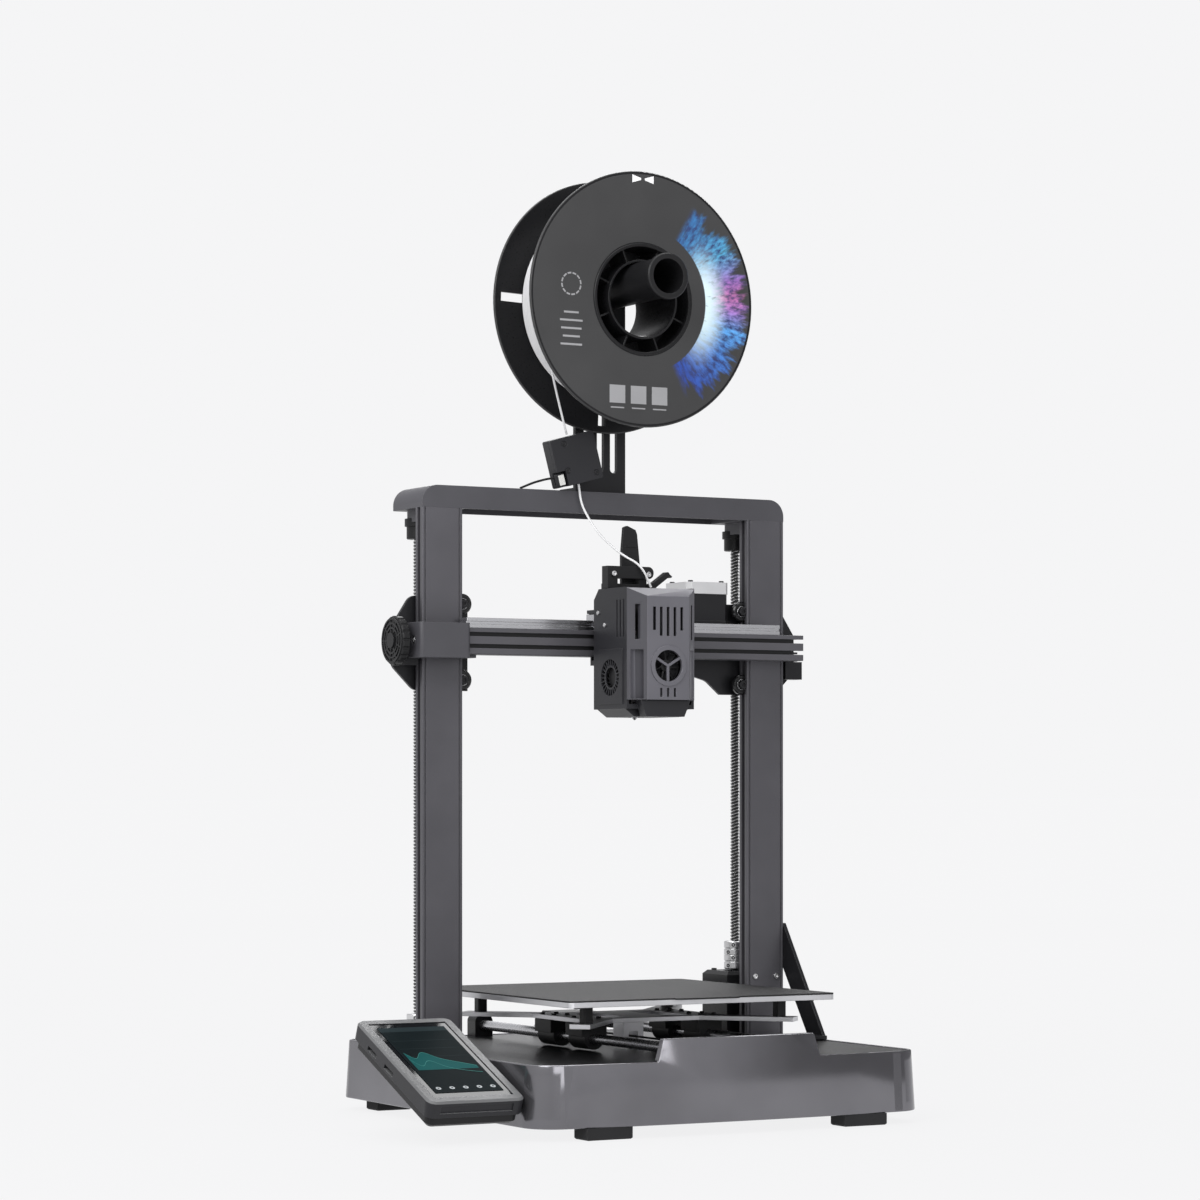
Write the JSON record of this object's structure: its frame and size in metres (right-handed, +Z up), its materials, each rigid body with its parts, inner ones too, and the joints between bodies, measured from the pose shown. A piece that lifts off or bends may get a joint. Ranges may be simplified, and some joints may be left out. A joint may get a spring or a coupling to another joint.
{
  "type": "filament 3-D printer",
  "caption": "Desktop fused-filament printer: moving heated bed, twin-column gantry with a print head, spool arm on top and a tilted touch screen beside the base.",
  "frame": {"origin": "centre of the overall footprint, on the table under the feet", "axes": "+Z up, +Y towards the back, +X to the right when seen from the front"},
  "size_m": [0.435, 0.3438, 0.739],
  "materials": {
    "graphite_paint": "satin graphite powder coat",
    "graphite_plastic": "fine matte grain",
    "black_plastic": "fine matte grain",
    "gloss_black": "smooth, glossy",
    "grey_plastic": "satin light graphite",
    "slate_plastic": "satin dark slate",
    "light_plastic": "wound plastic strand",
    "textured_black": "textured coating",
    "bright_steel": "ground",
    "screw_steel": "bright",
    "bare_aluminium": "satin",
    "black_anodised": "satin black",
    "nut_brass": "turned",
    "belt_rubber": "matte",
    "foot_rubber": "matte",
    "screen_cover": "polished cover plate",
    "board_green": "solder mask"
  },
  "bodies": {
    "frame": {"base_shell": "graphite_paint", "base_deck": "gloss_black", "base_plate": "black_anodised", "feet": "foot_rubber", "left_upright": "graphite_paint", "right_upright": "graphite_paint", "top_cover": "graphite_plastic", "side_brace": "black_anodised", "y_rods": "bright_steel", "y_motor": "black_anodised", "y_belt": "belt_rubber", "z_motors": "black_anodised", "power_supply": "bare_aluminium", "mainboard": "board_green", "power_inlet": "black_plastic", "spool_bracket": "black_anodised", "spool_tube": "black_plastic", "filament_sensor": "slate_plastic", "sensor_cable": "belt_rubber", "screen_cradle": "black_plastic", "screen_body": "slate_plastic", "screen_glass": "screen_cover", "filament_upper": "light_plastic"},
    "bed": {"build_sheet": "textured_black", "heated_bed": "bare_aluminium", "bed_posts": "black_plastic", "bed_carriage": "bare_aluminium", "y_bearings": "black_plastic"},
    "gantry": {"x_beam": "graphite_paint", "x_rail": "bright_steel", "left_end_plate": "black_anodised", "right_end_plate": "black_anodised", "beam_end_cover": "graphite_plastic", "x_motor": "black_anodised", "x_belt": "belt_rubber", "z_nuts": "nut_brass"},
    "head": {"rail_block": "bright_steel", "head_frame": "slate_plastic", "head_cover": "grey_plastic", "hotend": "bare_aluminium", "extruder": "black_plastic", "cable_guide": "black_plastic", "filament_lower": "light_plastic"},
    "spool": {"spool": "gloss_black", "filament_winding": "light_plastic"},
    "left_lead_screw": {"left_lead_screw": "screw_steel"},
    "right_lead_screw": {"right_lead_screw": "screw_steel"},
    "left_lower_wheel": {"left_lower_wheel": "black_plastic"},
    "left_upper_wheel": {"left_upper_wheel": "black_plastic"},
    "right_lower_wheel": {"right_lower_wheel": "black_plastic"},
    "right_upper_wheel": {"right_upper_wheel": "black_plastic"},
    "x_motor_pulley": {"x_motor_pulley": "bright_steel"},
    "x_idler": {"x_idler": "bright_steel"},
    "y_motor_pulley": {"y_motor_pulley": "bright_steel"},
    "y_idler": {"y_idler": "bright_steel"},
    "tensioner_knob": {"tensioner_knob": "black_plastic"},
    "release_lever": {"release_lever": "black_plastic"},
    "front_fan": {"front_fan": "black_plastic"},
    "side_fan": {"side_fan": "black_plastic"},
    "power_switch": {"power_switch": "gloss_black"}
  },
  "joints": [
    {"name": "bed_slide", "type": "slide", "parent": "frame", "child": "bed", "axis": [0, 1, 0], "range_m": [-0.1195, 0.1005]},
    {"name": "gantry_lift", "type": "slide", "parent": "frame", "child": "gantry", "axis": [0, 0, 1], "range_m": [-0.2113, 0.0287], "deforming": ["filament_lower"]},
    {"name": "head_slide", "type": "slide", "parent": "gantry", "child": "head", "axis": [1, 0, 0], "range_m": [-0.11, 0.11]},
    {"name": "left_screw_turn", "type": "hinge", "parent": "frame", "child": "left_lead_screw", "pos_m": [-0.1125, 0.0781, 0.3], "axis": [0, 0, 1], "range_deg": [-9600, 1400]},
    {"name": "right_screw_turn", "type": "hinge", "parent": "frame", "child": "right_lead_screw", "pos_m": [0.1795, 0.0781, 0.3], "axis": [0, 0, 1], "range_deg": [-9600, 1400]},
    {"name": "left_lower_wheel_turn", "type": "hinge", "parent": "gantry", "child": "left_lower_wheel", "pos_m": [-0.094, 0.0391, 0.3412], "axis": [0, 1, 0], "range_deg": [-215, 1530]},
    {"name": "left_upper_wheel_turn", "type": "hinge", "parent": "gantry", "child": "left_upper_wheel", "pos_m": [-0.094, 0.0391, 0.4005], "axis": [0, 1, 0], "range_deg": [-215, 1530]},
    {"name": "right_lower_wheel_turn", "type": "hinge", "parent": "gantry", "child": "right_lower_wheel", "pos_m": [0.161, 0.0391, 0.3412], "axis": [0, 1, 0], "range_deg": [-1530, 215]},
    {"name": "right_upper_wheel_turn", "type": "hinge", "parent": "gantry", "child": "right_upper_wheel", "pos_m": [0.161, 0.0391, 0.4005], "axis": [0, 1, 0], "range_deg": [-1530, 215]},
    {"name": "x_motor_turn", "type": "hinge", "parent": "gantry", "child": "x_motor_pulley", "pos_m": [0.128, 0.0536, 0.3706], "axis": [0, 0, 1], "range_deg": [-1100, 1100]},
    {"name": "x_idler_turn", "type": "hinge", "parent": "gantry", "child": "x_idler", "pos_m": [-0.1165, 0.0211, 0.3706], "axis": [0, 0, 1], "range_deg": [-1100, 1100]},
    {"name": "y_motor_turn", "type": "hinge", "parent": "frame", "child": "y_motor_pulley", "pos_m": [0.0335, 0.1431, 0.056], "axis": [1, 0, 0], "range_deg": [-1200, 1200]},
    {"name": "y_idler_turn", "type": "hinge", "parent": "frame", "child": "y_idler", "pos_m": [0.0335, -0.1529, 0.056], "axis": [1, 0, 0], "range_deg": [-1200, 1200]},
    {"name": "spool_turn", "type": "hinge", "parent": "frame", "child": "spool", "pos_m": [0.0335, 0.0086, 0.639], "axis": [0, 1, 0], "continuous": true},
    {"name": "front_fan_turn", "type": "hinge", "parent": "head", "child": "front_fan", "pos_m": [0.0335, -0.0559, 0.3516], "axis": [0, 1, 0], "continuous": true},
    {"name": "side_fan_turn", "type": "hinge", "parent": "head", "child": "side_fan", "pos_m": [0.0085, -0.0249, 0.343], "axis": [1, 0, 0], "continuous": true},
    {"name": "lever_turn", "type": "hinge", "parent": "head", "child": "release_lever", "pos_m": [0.046, -0.0129, 0.4148], "axis": [0, 1, 0], "range_deg": [0, 25]},
    {"name": "tensioner_turn", "type": "hinge", "parent": "gantry", "child": "tensioner_knob", "pos_m": [-0.154, 0.0321, 0.3706], "axis": [1, 0, 0], "range_deg": [-360, 360]},
    {"name": "switch_tilt", "type": "hinge", "parent": "frame", "child": "power_switch", "pos_m": [0.1725, 0.1661, 0.03], "axis": [1, 0, 0], "range_deg": [0, 10]}
  ],
  "couplings": [
    {"joint": "left_screw_turn", "follows": "gantry_lift", "rad_per_m": 785.4},
    {"joint": "right_screw_turn", "follows": "gantry_lift", "rad_per_m": 785.4},
    {"joint": "x_motor_turn", "follows": "head_slide", "rad_per_m": 125},
    {"joint": "x_idler_turn", "follows": "head_slide", "rad_per_m": 166.67},
    {"joint": "y_motor_turn", "follows": "bed_slide", "rad_per_m": -166.67},
    {"joint": "y_idler_turn", "follows": "bed_slide", "rad_per_m": -166.67},
    {"joint": "left_lower_wheel_turn", "follows": "gantry_lift", "rad_per_m": -125},
    {"joint": "left_upper_wheel_turn", "follows": "gantry_lift", "rad_per_m": -125},
    {"joint": "right_lower_wheel_turn", "follows": "gantry_lift", "rad_per_m": 125},
    {"joint": "right_upper_wheel_turn", "follows": "gantry_lift", "rad_per_m": 125}
  ]
}
